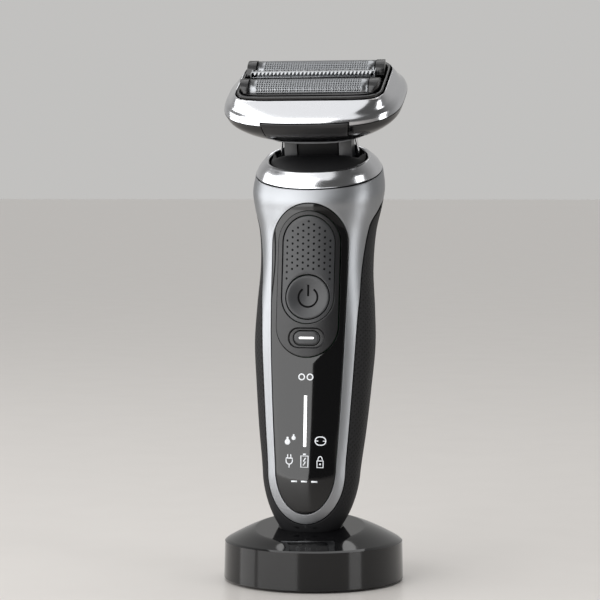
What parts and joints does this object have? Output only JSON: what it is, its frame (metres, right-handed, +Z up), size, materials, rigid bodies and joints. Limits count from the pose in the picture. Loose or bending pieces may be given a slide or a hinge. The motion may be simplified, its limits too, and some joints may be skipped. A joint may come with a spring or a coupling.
{
  "type": "foil shaver",
  "caption": "Cordless foil shaver with a rocking head, floating foils, trimmer and rubber grip, docked upright in a round charging stand.",
  "frame": {"origin": "on the table, at the middle of the stand's round foot", "axes": "+X to the shaver's right as seen from the front, +Y to the back, +Z up; the shaver's front and its display face -Y"},
  "size_m": [0.0606, 0.06, 0.1735],
  "materials": {
    "satin_metal": "satin",
    "chrome_plate": "polished",
    "steel": "satin",
    "foil_steel": "perforated",
    "gloss_black": "gloss",
    "satin_black": "satin",
    "matt_black": "matt",
    "grip_rubber": "dimpled",
    "foot_rubber": "matt",
    "grey_plastic": "satin",
    "white_light": "translucent",
    "circuit_board": "satin",
    "cell_wrap": "satin",
    "copper_wire": "enamelled",
    "contact_brass": "polished"
  },
  "bodies": {
    "stand": {"stand_shell": "gloss_black", "stand_base_plate": "matt_black", "stand_foot_ring": "foot_rubber", "stand_board": "circuit_board", "power_inlet": "matt_black", "inlet_pin_left": "contact_brass", "inlet_pin_right": "contact_brass", "stand_screw_1": "steel", "stand_screw_2": "steel", "stand_screw_3": "steel", "charging_plug": "matt_black"},
    "handle": {"front_frame": "satin_metal", "rear_grip": "grip_rubber", "display_lens": "gloss_black", "button_bezel": "satin_black", "thumb_pad": "satin_black", "main_board": "circuit_board", "power_switch": "matt_black", "mode_switch": "matt_black", "display_board": "circuit_board", "light_guide": "white_light", "inner_chassis": "matt_black", "battery_cell": "cell_wrap", "battery_tab_top": "steel", "battery_tab_bottom": "steel", "charging_socket": "matt_black", "socket_pin_left": "contact_brass", "socket_pin_right": "contact_brass", "collar_ring": "chrome_plate", "neck_boot": "matt_black", "neck_base": "matt_black", "rock_pin": "steel"},
    "power_button": {"power_button": "satin_black"},
    "mode_button": {"mode_button": "satin_black", "mode_light": "white_light"},
    "neck": {"neck_yoke": "grey_plastic", "neck_core": "matt_black", "return_spring_left": "steel", "return_spring_right": "steel"},
    "head": {"head_housing": "gloss_black", "head_trim_ring": "chrome_plate", "head_base_tray": "grey_plastic", "tilt_axle": "steel", "drive_stator": "steel", "drive_coil": "copper_wire", "drive_seal": "foot_rubber"},
    "release_front": {"release_button_front": "satin_black"},
    "release_rear": {"release_button_rear": "satin_black"},
    "drive": {"drive_bridge": "grey_plastic"},
    "cassette": {"cassette_frame": "matt_black"},
    "front_foil_unit": {"front_foil_holder": "matt_black", "front_foil": "foil_steel"},
    "rear_foil_unit": {"rear_foil_holder": "matt_black", "rear_foil": "foil_steel"},
    "trimmer_unit": {"trimmer_comb": "steel"},
    "front_cutter": {"front_cutter": "steel"},
    "rear_cutter": {"rear_cutter": "steel"},
    "trimmer_blade": {"trimmer_blade": "steel"}
  },
  "joints": [
    {"name": "lift_off", "type": "slide", "parent": "stand", "child": "handle", "axis": [0, 0.1357, 0.9907], "range_m": [0, 0.03]},
    {"name": "power_press", "type": "slide", "parent": "handle", "child": "power_button", "axis": [0, 0.9907, -0.1357], "range_m": [0, 0.0008], "stiffness_N_per_m": 900, "springref_m": -0.0006},
    {"name": "mode_press", "type": "slide", "parent": "handle", "child": "mode_button", "axis": [0, 0.9907, -0.1357], "range_m": [0, 0.0005], "stiffness_N_per_m": 900, "springref_m": -0.0006},
    {"name": "head_rock", "type": "hinge", "parent": "handle", "child": "neck", "pos_m": [0, 0.00938, 0.13546], "axis": [0, 0.9272, 0.3746], "range_deg": [-8, 8], "stiffness_Nm_per_rad": 0.4},
    {"name": "head_tilt", "type": "hinge", "parent": "neck", "child": "head", "pos_m": [0, 0.00621, 0.15547], "axis": [1, 0, 0], "range_deg": [-15, 15], "stiffness_Nm_per_rad": 0.4},
    {"name": "release_front_press", "type": "slide", "parent": "head", "child": "release_front", "axis": [0, 0.8746, 0.4848], "range_m": [0, 0.001], "stiffness_N_per_m": 900, "springref_m": -0.0006},
    {"name": "release_rear_press", "type": "slide", "parent": "head", "child": "release_rear", "axis": [0, -0.8746, -0.4848], "range_m": [0, 0.001], "stiffness_N_per_m": 900, "springref_m": -0.0006},
    {"name": "drive_stroke", "type": "slide", "parent": "head", "child": "drive", "axis": [1, 0, 0], "range_m": [-0.0012, 0.0012], "stiffness_N_per_m": 600},
    {"name": "cassette_pull", "type": "slide", "parent": "head", "child": "cassette", "axis": [0, -0.4848, 0.8746], "range_m": [0, 0.015]},
    {"name": "front_foil_float", "type": "slide", "parent": "cassette", "child": "front_foil_unit", "axis": [0, -0.4848, 0.8746], "range_m": [-0.0015, 0], "stiffness_N_per_m": 400, "springref_m": 0.001},
    {"name": "rear_foil_float", "type": "slide", "parent": "cassette", "child": "rear_foil_unit", "axis": [0, -0.4848, 0.8746], "range_m": [-0.0015, 0], "stiffness_N_per_m": 400, "springref_m": 0.001},
    {"name": "trimmer_float", "type": "slide", "parent": "cassette", "child": "trimmer_unit", "axis": [0, -0.4848, 0.8746], "range_m": [-0.001, 0], "stiffness_N_per_m": 400, "springref_m": 0.001},
    {"name": "front_cutter_stroke", "type": "slide", "parent": "front_foil_unit", "child": "front_cutter", "axis": [1, 0, 0], "range_m": [-0.0012, 0.0012]},
    {"name": "rear_cutter_stroke", "type": "slide", "parent": "rear_foil_unit", "child": "rear_cutter", "axis": [1, 0, 0], "range_m": [-0.0012, 0.0012]},
    {"name": "trimmer_blade_stroke", "type": "slide", "parent": "trimmer_unit", "child": "trimmer_blade", "axis": [1, 0, 0], "range_m": [-0.0012, 0.0012]}
  ],
  "couplings": [
    {"joint": "front_cutter_stroke", "follows": "drive_stroke", "ratio": 1},
    {"joint": "rear_cutter_stroke", "follows": "drive_stroke", "ratio": 1},
    {"joint": "trimmer_blade_stroke", "follows": "drive_stroke", "ratio": 1}
  ]
}
